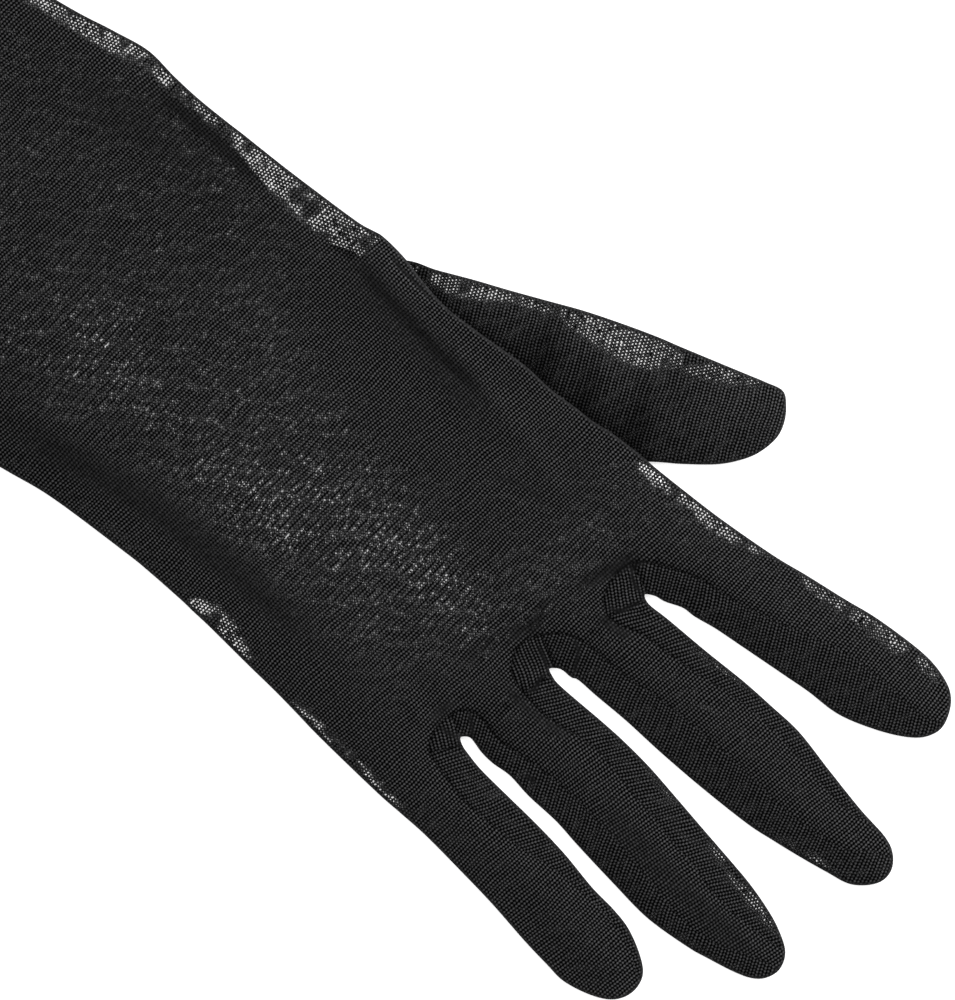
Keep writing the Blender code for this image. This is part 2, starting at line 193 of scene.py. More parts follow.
def curve_through(points, spacing):
    """Points this far apart along a smooth line through the given ones (Catmull-Rom)."""
    points = np.array(points, float)
    found = []
    for i in range(len(points) - 1):
        before, start = points[max(i - 1, 0)], points[i]
        end, after = points[i + 1], points[min(i + 2, len(points) - 1)]
        steps = max(2, int(np.linalg.norm(end[:2] - start[:2]) / FINE_STEP))
        t = (np.arange(steps) / steps)[:, None]
        found.append(
            0.5 * (2 * start + (end - before) * t + (2 * before - 5 * start + 4 * end - after) * t ** 2
                   + (3 * start - before - 3 * end + after) * t ** 3)
        )
    fine = np.vstack(found + [points[-1:]])
    along = np.concatenate([[0], np.cumsum(np.linalg.norm(np.diff(fine[:, :2], axis=0), axis=1))])
    count = max(2, int(round(along[-1] / spacing)) + 1)
    at = np.linspace(0, along[-1], count)
    return np.stack([np.interp(at, along, fine[:, k]) for k in range(fine.shape[1])], axis=1)


def smooth(low, high, value):
    """0 below low, 1 above high, and a smooth step between."""
    t = np.clip((np.asarray(value, float) - low) / (high - low), 0, 1)
    return t * t * (3 - 2 * t)


def within(value, start, full, less, end):
    """1 from full to less, and 0 before start and after end."""
    return smooth(start, full, value) * (1 - smooth(less, end, value))


def fade(distance, width, power=2):
    """1 on a line, and less with the distance from it."""
    return np.exp(-((distance / width) ** power))


def ease(distance, reach):
    """From 0 at an edge to 1 this far inside it, steep at first."""
    return 1 - (1 - np.clip(distance / reach, 0, 1)) ** 2


def to_left(step):
    """The unit vectors to the left of these steps."""
    return np.stack([-step[:, 1], step[:, 0]], axis=1) / np.maximum(np.hypot(*step.T), 1e-9)[:, None]


def sleeve_point(along, across):
    """The point this far up the sleeve's centreline, and this far to its thumb side."""
    cos, sin = math.cos(SLEEVE_TURN), math.sin(SLEEVE_TURN)
    return (SLEEVE_START[0] - along * cos - across * sin, SLEEVE_START[1] - along * sin + across * cos)


def along_sleeve(points):
    """How far up the sleeve's centreline each point lies."""
    cos, sin = math.cos(SLEEVE_TURN), math.sin(SLEEVE_TURN)
    return (SLEEVE_START[0] - points[:, 0]) * cos + (SLEEVE_START[1] - points[:, 1]) * sin


def sleeve_edge(along, side, sheer=0):
    """A point of the sleeve's edge: side is 1 on the thumb side, and -1 on the other."""
    half = START_HALF_WIDTH + (HEM_HALF_WIDTH - START_HALF_WIDTH) * along / SLEEVE_LENGTH
    return (*sleeve_point(along, side * half), sheer)


def outline_through(points):
    """A smooth line through the points of an outline, each with the width of its see-through strip."""
    return curve_through([(*point, 0)[:3] for point in points], OUTLINE_STEP)


def glove_outline():
    """From beyond the hem on the thumb side, round the fingers, and back beyond the hem."""
    thumb_side = [sleeve_edge(along, 1, SLEEVE_STRIPS[0]) for along in STATIONS]
    little_side = [sleeve_edge(along, -1, SLEEVE_STRIPS[1]) for along in WRIST_STATIONS + STATIONS[::-1]]
    one, two, three = WEBS.values()
    line = outline_through([*thumb_side, *THUMB_SIDE_EDGE, *INDEX_OUTLINE, one, *MIDDLE_OUTLINE, two,
                            *RING_OUTLINE, three, *LITTLE_OUTLINE, *LITTLE_SIDE_EDGE, *little_side])
    line[:, :2] += OUTLINE_OFFSET * to_left(np.gradient(line[:, :2], axis=0))
    return line


def nearest_index(line, point):
    """Which of the line's points is the nearest to this one."""
    return int(np.argmin(np.hypot(line[:, 0] - point[0], line[:, 1] - point[1])))


def tree_of(points):
    """A tree that finds the nearest of these points."""
    tree = kdtree.KDTree(len(points))
    for i, point in enumerate(points):
        tree.insert((point[0], point[1], 0), i)
    tree.balance()
    return tree


class Edge:
    """A line to measure distances from."""

    def __init__(self, line):
        self.line = line
        self.tree = tree_of(line)

    def measure(self, points):
        """Each point's distance from the line, its nearest point's index on it, and the way to it."""
        index = np.array([self.tree.find((p[0], p[1], 0))[1] for p in points], int)
        best = np.full(len(points), np.inf)
        way = np.zeros((len(points), 2))
        for step in (-1, 0):
            a = np.clip(index + step, 0, len(self.line) - 2)
            b = a + 1
            start, along = self.line[a, :2], self.line[b, :2] - self.line[a, :2]
            t = ((points - start) * along).sum(1) / np.maximum((along ** 2).sum(1), 1e-9)
            to = start + along * np.clip(t, 0, 1)[:, None] - points
            length = np.hypot(to[:, 0], to[:, 1])
            closer = length < best
            best[closer] = length[closer]
            way[closer] = to[closer]
        return best, index, way

    def distance(self, points):
        return self.measure(points)[0]

    def ends(self, index, share):
        """0 at the line's ends, and 1 from this share of its length inwards."""
        return smooth(0, 1, np.minimum(index, len(self.line) - 1 - index) / (share * len(self.line)))


outline = glove_outline()
glove_edge = Edge(outline)
thumb_edge = Edge(outline_through(THUMB_OUTLINE))
seam_lines = {finger: curve_through(points, LINE_STEP) for finger, points in WEB_SEAM.items()}
gusset_lines = [curve_through(pair, GUSSET_STEP) for pairs in GUSSET_SEAMS.values() for pair in pairs]
seam_edge = Edge(np.vstack(list(seam_lines.values())))
gusset_edge = Edge(np.vstack(gusset_lines))


# ---- the height of the cloth

# Soft folds of the upper cloth: a line, its height, and its width on the thumb side and on the other side
CREASES = [
    ([(-56, 36), (-47, 35), (-38, 33.4), (-28, 32.4), (-18, 31.6), (-8, 30)], 0.5, 2.2, 1.2),
    ([(-43.2, 38), (-40.9, 36.7), (-38, 36.4), (-32.2, 35.8), (-26, 35.4)], 0.45, 0.5, 0.6),
    ([(-95, 20), (-70, 27), (-52, 32)], 0.35, 3.5, 2.5),
    ([(-92, -33), (-60, -29.5), (-30, -27.6), (0, -27), (16, -22)], 0.6, 3, 2),
    ([(-100, -10), (-62, -16), (-20, -14), (12, -10)], 0.3, 6, 5),
    ([(-80, 8), (-40, 4), (-4, 8)], 0.3, 7, 6),
    ([(31, 24), (29.6, 19), (28, 14), (26.6, 11)], -0.6, 1, 1.6),
    ([(24.4, 5), (24.4, 0), (22, -4), (20.6, -8), (20, -13)], -0.5, 1, 1.6),
    ([(14, -24), (19, -27), (22, -31)], 0.5, 0.8, 0.9),
    ([(10, -20), (15, -18), (20, -18)], 0.4, 0.8, 0.9),
    ([(30, -13), (33.5, -13.2), (38.8, -13)], 0.3, 0.8, 0.9),
]
# Where the upper cloth is smoother and darker, or lighter if below 0, as painted shade in folds, creases and
# beside ridges, painted highlights on fold crests, and denser cloth over seams and bunched layers: a line,
# how much, and its half width
SHADES = [
    ([(-98, 32.8), (-84, 33.1), (-76, 32.9), (-68, 33)], 0.45, 1.6),
    ([(-48.5, 32.6), (-43.8, 32.2), (-38, 31.2), (-30, 30.3), (-22, 29.3), (-16, 29.1), (-9.4, 28)],
     0.5, 1.2),
    ([(-49, 32.4), (-43.8, 31.6), (-38, 30.6), (-30, 29.6), (-22, 28.6), (-14, 27.4), (-6, 26)], 0.24, 3.6),
    ([(-12, 31.4), (-4, 29.6), (6, 27.4), (16, 24.6)], -0.3, 1.8),
    ([(-43.2, 38), (-39.5, 36.4), (-35.1, 36.1), (-29.1, 35.6)], -0.7, 0.3),
    ([(-41.8, 38.2), (-39, 37.2), (-34.8, 36.9), (-30, 36.3)], 0.55, 0.35),
    ([(-78, -34.5), (-47, -28.5), (-22, -27.6), (-2, -27.8)], 0.32, 3.2),
    ([(31.4, 24.4), (30.6, 21), (29.2, 17.5), (27.6, 14), (26.4, 11.4)], 0.5, 1.4),
    ([(33.5, 10.7), (37, 10.4), (41, 11.4)], 0.4, 0.9),
    ([(24.3, 8), (24.6, 4), (25, 1), (23.6, -2.4), (23.2, -5)], 0.45, 1.2),
    ([(20.6, -5), (20.3, -9.3), (19.6, -13)], 0.3, 1.3),
    ([(27.6, -10.6), (32, -12), (38.8, -12), (45, -11)], 0.35, 0.9),
    ([(23.4, -19.6), (22.2, -22.6), (22, -26)], 0.35, 0.9),
    ([(-110, 20), (-92, 28), (-70, 27)], 0.2, 6),
    ([(56, -17), (74, -19), (90, -20.4), (100, -19)], 0.2, 2.4),
    ([(37.6, 19), (34.8, 19.6), (33, 21.2), (32.9, 23), (34.6, 24.6)], 0.65, 0.3),
    ([(38, 18.2), (37.1, 15.6), (35.9, 13.6), (33.6, 12.8)], 0.6, 0.3),
    ([(33, -4.4), (32.8, -6.3), (33.2, -8.2), (32.4, -9.8)], 0.65, 0.3),
    ([(32.6, -3.8), (30.8, -2.6), (28.4, -1.5)], 0.6, 0.3),
    ([(37.4, -1.8), (36.4, 0.2), (35.8, 1.4), (34.5, 3.1), (32.2, 4.1)], 0.55, 0.3),
    ([(28.2, -25), (26.3, -25.4), (24, -25.6)], 0.6, 0.3),
    ([(30.3, -23.6), (28.8, -21.8), (27.3, -20.5), (26, -19.8)], 0.55, 0.3),
    ([(42.4, -22.8), (43.8, -21.8), (45.2, -22.8)], 0.45, 0.4),
    ([(0, 17), (4, 19.5), (9, 20.6), (13, 19)], 0.28, 0.5),
    ([(3, 15.4), (7, 17.4), (11, 17)], -0.25, 0.45),
    ([(-2, 19.6), (2, 21.8), (7, 22.8)], -0.2, 0.45),
]
THIN = 0.6  # a line with a smaller half width gets mesh points of its own, so that it stays crisp
THIN_ROWS = (-0.7, -0.3, 0, 0.3, 0.7)  # where they are, across the line
HEM_STITCHES = [SLEEVE_LENGTH - HEM_DEPTH + past for past in (0.5, 2.3)]  # two rows, up the sleeve
for row in HEM_STITCHES:
    SHADES.append(([sleeve_point(row, across) for across in (60, 0, -60)], 0.5, 0.35))
crease_edges = [(Edge(curve_through(line, LINE_STEP)), *sizes) for line, *sizes in CREASES]
shade_edges = [(Edge(curve_through(line, SHADE_STEP)), depth, width) for line, depth, width in SHADES]
PUCKER_REACH = 9.0
PUCKER_HEIGHT = 0.35


def wander(points, scale, seed):
    """Smooth noise from -1 to 1, this many millimetres across."""
    return np.array([noise.noise((p[0] / scale, p[1] / scale, seed)) for p in points]) * 1.6


def thumb_lift(points):
    """How far the hand is lifted by the thumb that lies under its edge."""
    return THUMB_LIFT * within(points[:, 0], *THUMB_SPAN) * smooth(*THUMB_REACH, points[:, 1])


def creases(points):
    """How far the soft folds raise the upper cloth."""
    height = np.zeros(len(points))
    for edge, rise, near, far in crease_edges:
        distance, index, way = edge.measure(points)
        width = np.where(way[:, 1] < 0, near, far)
        height += rise * fade(distance, width) * edge.ends(index, 0.25)
    return height


def web_share(points, reach):
    """1 at a web, and less further away."""
    away = [np.hypot(points[:, 0] - x, points[:, 1] - y) for x, y in WEBS.values()]
    return fade(np.min(away, axis=0), reach)


def puckers(points):
    """Small folds that run out from each web."""
    height = np.zeros(len(points))
    for k, (x, y) in enumerate(WEBS.values()):
        dx, dy = points[:, 0] - x, points[:, 1] - y
        reach = np.hypot(dx, dy)
        fan = np.sin(9 * np.arctan2(dy, -dx) + k + 0.08 * reach)
        height += PUCKER_HEIGHT * fan * smooth(3, 7, reach) * fade(reach, PUCKER_REACH) * (dx < 6)
    return height


def grooves(points):
    """How deep the seams, the gussets' short seams and the hem's stitches lie in the upper cloth."""
    groove = SEAM_GROOVE * (0.3 + 0.7 * web_share(points, 18)) * fade(seam_edge.distance(points), 0.45)
    groove += 0.35 * fade(gusset_edge.distance(points), 0.4)
    up_sleeve = along_sleeve(points)
    for row in HEM_STITCHES:
        groove += 0.3 * fade(up_sleeve - row, 0.5)
    return groove


def glove_height(points, upper):
    """The height of the cloth of the hand, fingers and sleeve, in its upper or lower layer."""
    distance = glove_edge.distance(points)
    fold = np.sqrt(ease(distance, FOLD_RADIUS))
    lift = thumb_lift(points)
    if not upper:
        return EDGE_HEIGHT - (EDGE_HEIGHT - LOWEST) * fold + lift
    inwards = ease(distance, LOFT_REACH)
    free = smooth(0.3, 4, distance)
    height = EDGE_HEIGHT + 0.5 * fold + LOFT * inwards + lift * (1 - 0.4 * inwards)
    height += free * (0.55 * wander(points, 34, 3.1) + 0.16 * wander(points, 11, 7.7) + creases(points))
    height += free * puckers(points)
    return height - grooves(points) * smooth(0.2, 1.2, distance)


THUMB_COVERED = 38.5  # in Y: below this the thumb lies flat under the hand


def thumb_height(points, upper):
    """The height of the thumb's cloth, in its upper or lower layer."""
    distance = thumb_edge.distance(points)
    fold = np.sqrt(ease(distance, FOLD_RADIUS))
    if not upper:
        return EDGE_HEIGHT - (EDGE_HEIGHT - LOWEST) * fold
    inwards = ease(distance, 9)
    clear = smooth(0, 9, points[:, 1] - THUMB_COVERED)
    wave = smooth(0.3, 3, distance) * (0.35 * wander(points, 17, 12.3) + 0.1 * wander(points, 7, 5.5))
    return EDGE_HEIGHT + 0.45 * fold + (0.5 + 2.4 * clear) * inwards + wave * clear


# ---- how the cloth looks from place to place

# What each point carries for its material: how far the holes are open, whether the table shows through,
# how smooth the threads look, how light they are with their painted shade and highlights, and how much
# every other row glints
LOOKS = ("open", "sheer", "plain", "shade_and_tone", "glint")
BASE_OPEN = 0.46
DENSE_EDGE = 0.6  # width of the folded edge, which is too steep to see through
LOWER_OPEN = 2.5  # how far the lower layer's holes open where light comes through
BRIGHT_LINE = Edge(curve_through([(-76, -21), (-46, -14.4), (-10, -12), (14, -2)], LINE_STEP))


def see_through_strip(points, distance, width, seed):
    """1 within the strip beside a folded edge, and 0 outside it, in patches."""
    reach = DENSE_EDGE + width
    strip = smooth(0.75 * DENSE_EDGE, 1.4 * DENSE_EDGE, distance) * (1 - smooth(-0.3, 0.9, distance - reach))
    patches = smooth(-0.85, -0.1, wander(points, 3.0, seed))
    return strip * smooth(0.1, 0.8, width) * patches


def folded(distance, width=0.7):
    """1 at a folded edge, which looks smooth because it is steep, and 0 inside it."""
    return 1 - smooth(0.3 * width, width, distance)


def outside_fold(distance):
    """0 on a folded edge, and 1 where the cloth is flat enough to see its holes."""
    return smooth(0.3 * DENSE_EDGE, 1.5 * DENSE_EDGE, distance)


def over_thumb(points):
    """1 where the thumb and its seam lie under the hand's cloth."""
    x, y = points.T
    return within(x, -62, -44, 6, 24) * smooth(-2, 12, y + 0.25 * x)


def hand_opening(points, distance, bright, seam):
    """How far the holes of the hand's cloth are open."""
    x, y = points.T
    opened = BASE_OPEN + 0.04 * wander(points, 21, 20.5) + 0.04 * wander(points, 8, 21.5)
    opened += 0.05 * fade(bright, 15) - 0.03
    little_band = within(distance, 2, 4, 9, 15) * (y < -20) * (1 - smooth(22, 32, x))
    opened -= 0.16 * over_thumb(points) + 0.2 * little_band
    opened -= 0.3 * web_share(points, 9) + 0.1 * smooth(34, 46, x) + 0.2 * fade(seam, 2.2)
    return np.clip(opened, 0.05, 1) * outside_fold(distance)


def hand_threads(points, distance, bright, seam):
    """How smooth the threads of the hand's cloth look, and how light they are, with painted shade and
    highlights.
    """
    x, y = points.T
    light = 1 - (0.1 + 0.6 * web_share(points, 16)) * fade(seam, 0.28)
    light -= 0.5 * fade(gusset_edge.distance(points), 0.3)
    plain = 0.8 * folded(distance)
    # Painted shade and painted highlights along the SHADES lines, with the threads flattened there
    for edge, depth, width in shade_edges:
        away, nearest, _ = edge.measure(points)
        share = fade(away, width, 4) * (0.15 + 0.85 * edge.ends(nearest, 0.2))
        light *= 1 - depth * share
        plain = np.maximum(plain, 1.4 * depth * share)
    light *= 0.87 + 0.13 * smooth(-70, -44, x) - 0.07 * fade(bright, 18)
    # Painted highlight along the hand's edge, where it lies over the thumb
    over = within(x, -47, -41, 14, 22) * (y > 30)
    return plain, light * (1 + 0.25 * over * fade(distance, 0.4))


def hand_glint(points, distance, bright):
    """How much every other row of the hand's cloth glints: most along the bright line, on the flat back."""
    x, y = points.T
    glint = glints(points) * (0.3 + 0.7 * fade(bright, 16))
    little_side = (y < -10) * (1 - smooth(10, 24, distance))
    glint *= (1 - 0.8 * over_thumb(points)) * (1 - little_side)
    return glint * (1 - web_share(points, 9)) * (1 - 0.6 * smooth(30, 46, x))


def hand_looks(points, upper):
    """The looks of the hand, the fingers, their strips and the sleeve."""
    distance, index, _ = glove_edge.measure(points)
    bright, seam = BRIGHT_LINE.distance(points), seam_edge.distance(points)
    opened = hand_opening(points, distance, bright, seam)
    sheer = see_through_strip(points, distance, outline[index, 2], 30.5)
    plain, light = hand_threads(points, distance, bright, seam)
    return looks_of(opened, sheer, plain, light, hand_glint(points, distance, bright), upper)


# Where the thumb lies in the hand's shadow: x, y and how far it reaches
THUMB_SHADOWS = ((-6, 41, 3.2), (4, 42.5, 2.6), (15, 45, 2.6))


def thumb_looks(points, upper):
    """The looks of the thumb, with painted shadow beside the hand's edge that lies over it."""
    distance, index, _ = thumb_edge.measure(points)
    x, y = points.T
    opened = (0.3 + 0.08 * wander(points, 15, 40.5)) * smooth(36, 40, y) * outside_fold(distance)
    sheer = see_through_strip(points, distance, thumb_edge.line[index, 2], 41.5)
    hand, _, way = glove_edge.measure(points)
    # Painted shadow of the hand's edge on the thumb, then more painted shadow at THUMB_SHADOWS
    light = 1 - 0.72 * fade(hand, 2.6, 1.4) * (way[:, 1] < 0)
    for middle_x, middle_y, reach in THUMB_SHADOWS:
        dx, dy = x - middle_x, y - middle_y
        light *= 1 - 0.5 * fade(np.hypot(dx + 0.45 * dy, 0.4 * dy), reach)
    light *= 1 + 0.12 * wander(points, 9, 50.5)
    return looks_of(opened, sheer, 0.8 * folded(distance), light, 0.4 * glints(points), upper)


def glints(points):
    """How much light comes through in specks, which varies slowly over the cloth."""
    return np.clip(0.75 + 0.35 * wander(points, 12, 60.5), 0, 1)


def looks_of(opened, sheer, plain, light, glint, upper):
    """What the material needs at each point, in the order of LOOKS."""
    if not upper:
        opened = opened + sheer * LOWER_OPEN + 0.2 * glint
    plain = np.clip(plain, 0, 1) * (1 - sheer)
    light = np.clip(light, 0.08, 1.6)
    return np.stack([np.clip(opened, 0, 3), np.clip(sheer, 0, 1), plain, light, glint * (1 - sheer)], axis=1)


# ---- the grain of the cloth

UPPER_TURN = -6.5  # of the knit in each layer from the row frame, in degrees
LOWER_TURN = 4.0
LOWER_STRETCH = (1.14, 0.93)  # of the lower layer, along the wales and across them
ROOT_BEND = 26  # a finger's grain turns over this length from its root


def grain(points, upper, turn=0.0, root=None, bend=None):
    """Where each point lies in the knit: along the wales and across them, in millimetres.

    turn is how far a piece's grain is turned, and bend how far it turns away beyond a finger's root.
    """
    x, y = points.T
    if bend:
        angle = math.radians(bend) * smooth(0, ROOT_BEND, x - root[0])
        dx, dy = x - root[0], y - root[1]
        x = root[0] + dx * np.cos(angle) + dy * np.sin(angle)
        y = root[1] - dx * np.sin(angle) + dy * np.cos(angle)
    turn = math.radians(turn + (UPPER_TURN if upper else LOWER_TURN))
    along, across = x * math.cos(turn) + y * math.sin(turn), y * math.cos(turn) - x * math.sin(turn)
    if not upper:
        along, across = along / LOWER_STRETCH[0], across / LOWER_STRETCH[1]
    return np.stack([along, across], axis=1)


# ---- building sheets


def area_of(polygon):
    """The polygon's area, negative if its points run clockwise."""
    x, y = polygon.T
    return (x @ np.roll(y, -1) - y @ np.roll(x, -1)) / 2


def inside(points, polygon):
    """Which points lie within the polygon."""
    x, y = points.T
    result = np.zeros(len(points), bool)
    for (x1, y1), (x2, y2) in zip(polygon, np.roll(polygon, -1, axis=0)):
        if y1 == y2:
            continue
        crosses = (y1 > y) != (y2 > y)
        result ^= crosses & (x < (x2 - x1) * (y - y1) / (y2 - y1) + x1)
    return result


def thin_line_points():
    """Mesh points along the thin lines, in rows beside them."""
    rows = []
    for edge, _, width in shade_edges:
        if width < THIN:
            left = to_left(np.gradient(edge.line, axis=0))
            rows += [edge.line + left * offset for offset in THIN_ROWS]
    return np.vstack(rows)


line_points = thin_line_points()


def apart(points, others, gap):
    """Those of the points that are at least this far from all the others."""
    if not len(others):
        return points
    tree = tree_of(others)
    return points[np.array([tree.find((p[0], p[1], 0))[2] >= gap for p in points], bool)]


def grid_inside(polygon, border, edge, spacing):
    """Points at the corners of even triangles, clear of the rows beside the polygon's edges."""
    low, high = polygon.min(0), polygon.max(0)
    xs = np.arange(low[0], high[0], spacing)
    ys = np.arange(low[1], high[1], spacing * TRIANGLE)
    grid = np.array([(x + (j % 2) * spacing / 2, y) for j, y in enumerate(ys) for x in xs])
    grid = grid[inside(grid, polygon)]
    grid = grid[border.distance(grid) > SEAM_ROWS[-1] + 0.35 * spacing]
    return grid[edge.distance(grid) > EDGE_ROWS[-1] + 0.4 * spacing]


def rows_inside(polygon, border, edge):
    """Rows of points beside the polygon's edges: EDGE_ROWS where it is folded and SEAM_ROWS elsewhere."""
    on_fold = edge.distance(polygon) < ON_FOLD
    inwards = to_left(np.roll(polygon, -1, axis=0) - np.roll(polygon, 1, axis=0))
    inwards *= 1 if area_of(polygon) > 0 else -1
    found = []
    for rows, chosen, folded_edge in ((EDGE_ROWS, on_fold, True), (SEAM_ROWS, ~on_fold, False)):
        for row in rows:
            points = (polygon + inwards * row)[chosen]
            points = points[inside(points, polygon)]
            from_fold = edge.distance(points)
            fits = from_fold < 1.3 * row if folded_edge else from_fold > EDGE_ROWS[-1] + 0.3
            found.append(points[(border.distance(points) > 0.8 * row) & fits])
    return np.vstack(found)


def fill(polygon, edge, spacing):
    """The polygon as triangles: its own points, extra rows inside the folded edge, and a grid between."""
    border = Edge(np.vstack([polygon, polygon[:1]]))
    kept = np.vstack([polygon, rows_inside(polygon, border, edge)])
    grid = grid_inside(polygon, border, edge, spacing)
    extra = line_points[inside(line_points, polygon)]
    extra = apart(extra[border.distance(extra) > 0.25], kept, 0.22)
    points = np.vstack([kept, extra, apart(grid, extra, 0.35)])
    count = len(polygon)
    edges = [(i, (i + 1) % count) for i in range(count)]
    found, _, faces, _, _, _ = delaunay_2d_cdt([Vector(p) for p in points], edges, [], 1, 1e-4)
    return np.array([tuple(p) for p in found]), [tuple(face) for face in faces]


def put_in_scene(name, data):
    made = bpy.data.objects.new(name, data)
    scene.collection.objects.link(made)
    return made


def build_object(name, points, heights, faces, grains, looks, cloth):
    """A mesh object in metres, with its knit as UVs and its looks as attributes."""
    mesh = bpy.data.meshes.new(name)
    coordinates = np.hstack([points, heights]) * MM
    mesh.from_pydata(coordinates.tolist(), [], faces)
    layer = mesh.uv_layers.new(name="knit")
    loops = np.empty(len(mesh.loops), np.int32)
    mesh.loops.foreach_get("vertex_index", loops)
    layer.data.foreach_set("uv", grains[loops].astype(np.float32).ravel())
    for title, values in zip(LOOKS, looks.T):
        attribute = mesh.attributes.new(title, "FLOAT", "POINT")
        attribute.data.foreach_set("value", values.astype(np.float32))
    mesh.materials.append(cloth)
    mesh.shade_smooth()
    return put_in_scene(name, mesh)


def sheet(name, polygon, layers, cloth, height=glove_height, look=hand_looks, edge=glove_edge,
          spacing=SPACING, **grain_choices):
    """One piece of cloth over this polygon, in the upper layer, the lower one, or both joined at the fold."""
    points, faces = fill(polygon, edge, spacing)
    a, b, c = (points[k] for k in faces[0])
    if np.cross(b - a, c - a) < 0:
        faces = [face[::-1] for face in faces]
    numbers = np.arange(len(points))
    kept = np.ones(len(points), bool)
    parts, all_faces = [], []
    for upper in layers:
        if parts:
            kept = edge.distance(points) > ON_FOLD
            numbers = np.where(kept, len(points) + np.cumsum(kept) - 1, numbers)
        heights = height(points, upper)[:, None]
        layer = np.hstack([points, heights, grain(points, upper, **grain_choices), look(points, upper)])
        parts.append(layer[kept])
        for face in faces:
            corners = tuple(int(numbers[k]) for k in face)
            all_faces.append(corners if upper else corners[::-1])
    plan, heights, grains, looks = np.split(np.vstack(parts), [2, 3, 5], axis=1)
    return build_object(name, plan, heights, all_faces, grains, looks, cloth)


# ---- materials

COURSE = 0.665  # the knit's repeat along its wales, in millimetres
WALE = 0.63
ROW_SHARE = 0.5  # how much of the knit's relief is in its rows, and how much in the stitches along them
STITCH_SHARE = 0.4
DRIFT = 1.3  # how far the knit wanders, in millimetres
ZIGZAG = 1.0  # how far every other row is shifted, in radians of a stitch
# Painted shade: the knit's hollows and its closed holes are nearly black
SHADE_BETWEEN_THREADS = 0.0004  # the colour between the threads
BUMP = 0.3
THREAD_RELIEF = 0.1
THREAD_SHADER = {"Roughness": 0.75, "Sheen Weight": 0.001, "Sheen Roughness": 0.5, "Specular IOR Level": 0.01}


class Nodes:
    """A short way to write a material's nodes. Their inputs are numbers or other nodes' outputs."""

    def __init__(self, name):
        self.material = bpy.data.materials.new(name)
        self.material.use_nodes = True
        self.tree = self.material.node_tree
        self.shader = self.tree.nodes["Principled BSDF"]

    def new(self, kind, *given, **values):
        node = self.tree.nodes.new(kind)
        for name, value in values.items():
            setattr(node, name, value)
        for value, socket in zip(given, node.inputs):
            if isinstance(value, (int, float)):
                socket.default_value = value
            else:
                self.link(value, socket)
        return node

    def link(self, source, target):
        self.tree.links.new(source, target)

    def shade(self, values):
        for title, value in values.items():
            self.shader.inputs[title].default_value = value

    def math(self, operation, *given, clamp=False):
        return self.new("ShaderNodeMath", *given, operation=operation, use_clamp=clamp).outputs[0]

    def times(self, *given, clamp=False):
        return self.math("MULTIPLY", *given, clamp=clamp)

    def plus(self, *given, clamp=False):
        return self.math("ADD", *given, clamp=clamp)

    def minus(self, *given):
        return self.math("SUBTRACT", *given)

    def ramp(self, value, low, high):
        """0 below low, 1 above high, and a smooth step between."""
        return self.new("ShaderNodeMapRange", value, low, high, interpolation_type="SMOOTHSTEP").outputs[0]


class KnitNodes(Nodes):
    """The nodes of a knitted cloth."""

    def __init__(self, name, seed):
        super().__init__(name)
        self.seed = seed
        self.place = self.new("ShaderNodeUVMap", uv_map="knit").outputs[0]

    def noise(self, scale, offset, detail=1.0, output="Fac"):
        """Noise over the knit, in another pattern for each offset."""
        given = (self.place, self.seed + offset, scale, detail)
        return self.new("ShaderNodeTexNoise", *given, noise_dimensions="4D").outputs[output]


def knit(make, sheer, alternate):
    """How much thread there is at each point, then the waves of the rows' pairs and of every other row."""
    parts = make.new("ShaderNodeSeparateXYZ", make.place)
    drift = make.new("ShaderNodeSeparateColor", make.noise(0.11, 0, output="Color"))
    along = make.plus(parts.outputs[0], make.times(drift.outputs[0], DRIFT))
    across = make.plus(parts.outputs[1], make.times(drift.outputs[1], DRIFT))
    course = make.times(along, 2 * math.pi / COURSE)
    rows = make.math("COSINE", course)
    pairs = make.math("COSINE", make.times(course, 0.5))
    every_other = make.math("SINE", make.times(course, 0.5))
    stagger = make.times(every_other, make.times(sheer, 0.5 * math.pi))
    shift = make.plus(make.times(pairs, ZIGZAG), stagger)
    stitches = make.math("COSINE", make.plus(make.times(across, 2 * math.pi / WALE), shift))
    total = 2 * (ROW_SHARE + STITCH_SHARE + alternate)
    relief = make.plus(make.times(rows, ROW_SHARE / total), make.times(stitches, STITCH_SHARE / total))
    body = make.plus(make.plus(relief, make.times(pairs, alternate / total)), 0.5)
    return body, pairs, every_other


def hole_size(make, look, glint, every_other, hole):
    """How large the holes are: uneven, more so in the sheer strips, and in dashes where the cloth glints."""
    uneven = make.plus(make.times(make.noise(0.38, 2), 0.9), 0.55)
    jitter = make.times(make.minus(make.noise(1.5, 13, 0), 0.55), look["sheer"])
    size = make.plus(make.times(make.times(look["open"], hole), uneven), make.times(jitter, 0.7))
    dashes = make.minus(make.times(every_other, 0.15), make.times(make.noise(1.6, 17, 0), 0.26))
    return make.plus(size, make.times(make.plus(dashes, 0.12), glint))


def opacity(make, look, glint, body, size, clear, through):
    """0 where light passes a hole, and 1 elsewhere."""
    gap = make.minus(1, make.ramp(body, make.minus(size, 0.07), make.plus(size, 0.05)))
    patchy = make.plus(look["sheer"], make.times(make.minus(make.noise(0.9, 7), 0.5), 1.6))
    passing = make.plus(make.times(make.ramp(patchy, 0.3, 0.9), 1.0 - clear), clear)
    specks = make.times(glint, make.ramp(make.noise(1.6, 29, 0), 0.49, 0.57))
    passing = make.plus(passing, make.times(specks, through), clamp=True)
    return make.minus(1, make.times(gap, passing))


